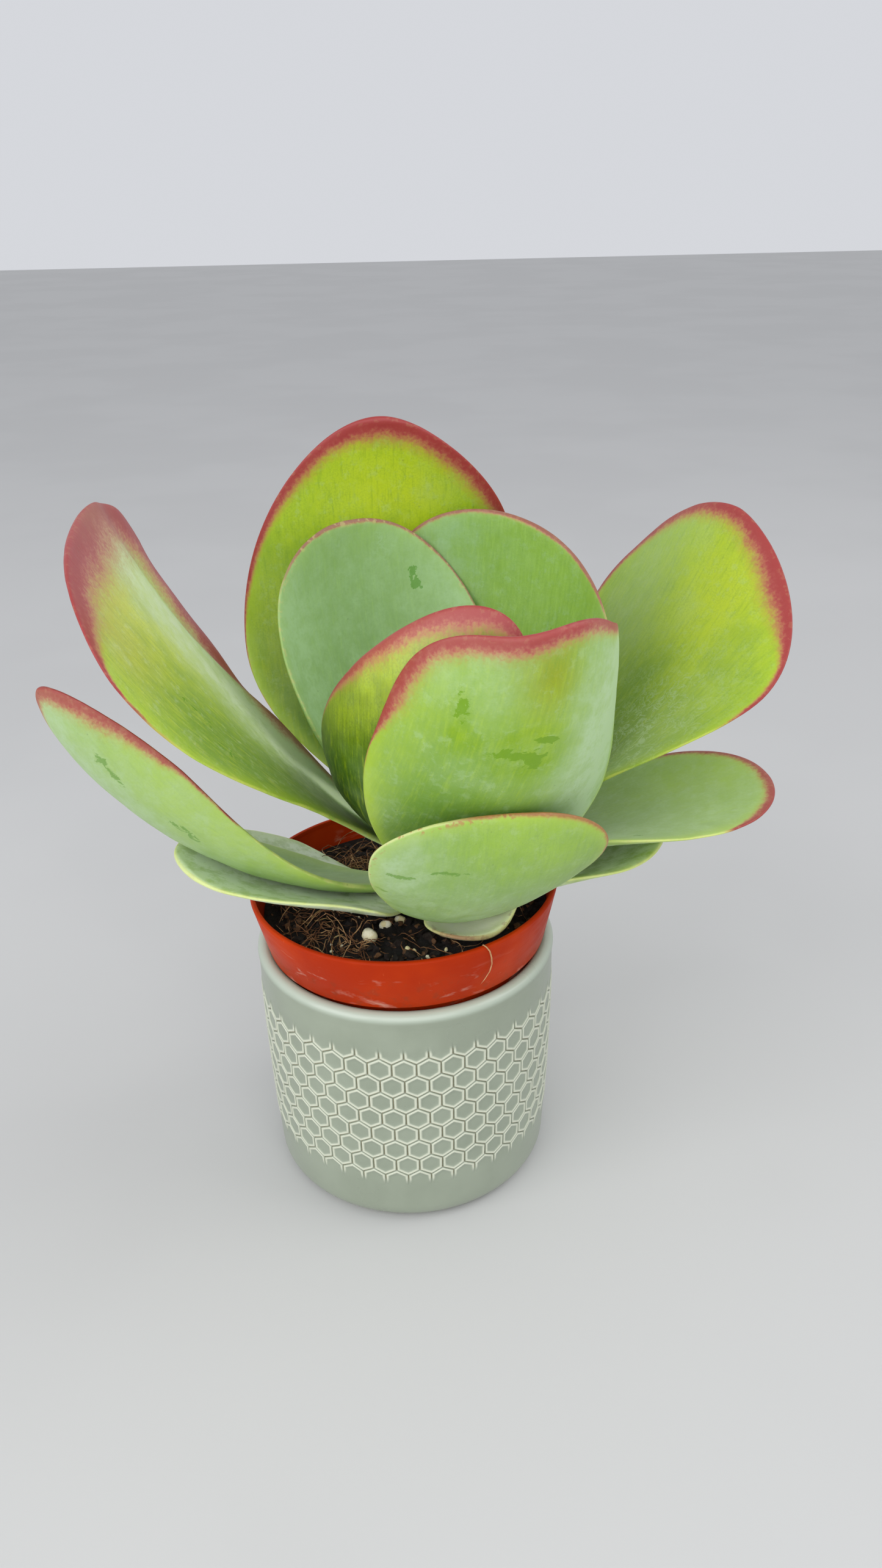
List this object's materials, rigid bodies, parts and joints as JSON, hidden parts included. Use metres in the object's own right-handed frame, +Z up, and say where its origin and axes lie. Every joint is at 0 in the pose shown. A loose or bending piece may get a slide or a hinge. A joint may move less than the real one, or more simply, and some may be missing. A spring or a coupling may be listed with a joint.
{
  "type": "potted paddle plant",
  "caption": "Paddle plant succulent, its rosette of broad rounded leaves on a short stem in soil in a plastic nursery pot, hung by its collar in a honeycomb-relief ceramic cachepot.",
  "frame": {"origin": "centre of the cachepot's flat foot, on the table", "axes": "+Z up; looking along +Y from straight ahead, +X is to the right"},
  "size_m": [0.2673, 0.1884, 0.2925],
  "materials": {
    "cachepot_glaze": "satin sage-green glaze",
    "nursery_pot_plastic": "matt orange-red plastic",
    "soil": "loose dark potting mix",
    "stem_skin": "matt living stem",
    "leaf_skin": "satin succulent leaf with a waxy bloom and red margins"
  },
  "bodies": {
    "root": {"cachepot": "cachepot_glaze", "nursery_pot": "nursery_pot_plastic", "soil": "soil", "stem": "stem_skin", "leaf_front_base": "leaf_skin", "leaf_left_base": "leaf_skin", "leaf_right_base": "leaf_skin", "leaf_front_low": "leaf_skin", "leaf_right_low": "leaf_skin", "leaf_left_low": "leaf_skin", "leaf_back_tall": "leaf_skin", "leaf_right_large": "leaf_skin", "leaf_left_large": "leaf_skin", "leaf_front_tall": "leaf_skin", "leaf_right_inner": "leaf_skin", "leaf_back_inner": "leaf_skin", "leaf_left_inner": "leaf_skin", "bud_leaf_front": "leaf_skin", "bud_leaf_back": "leaf_skin"}
  },
  "joints": []
}
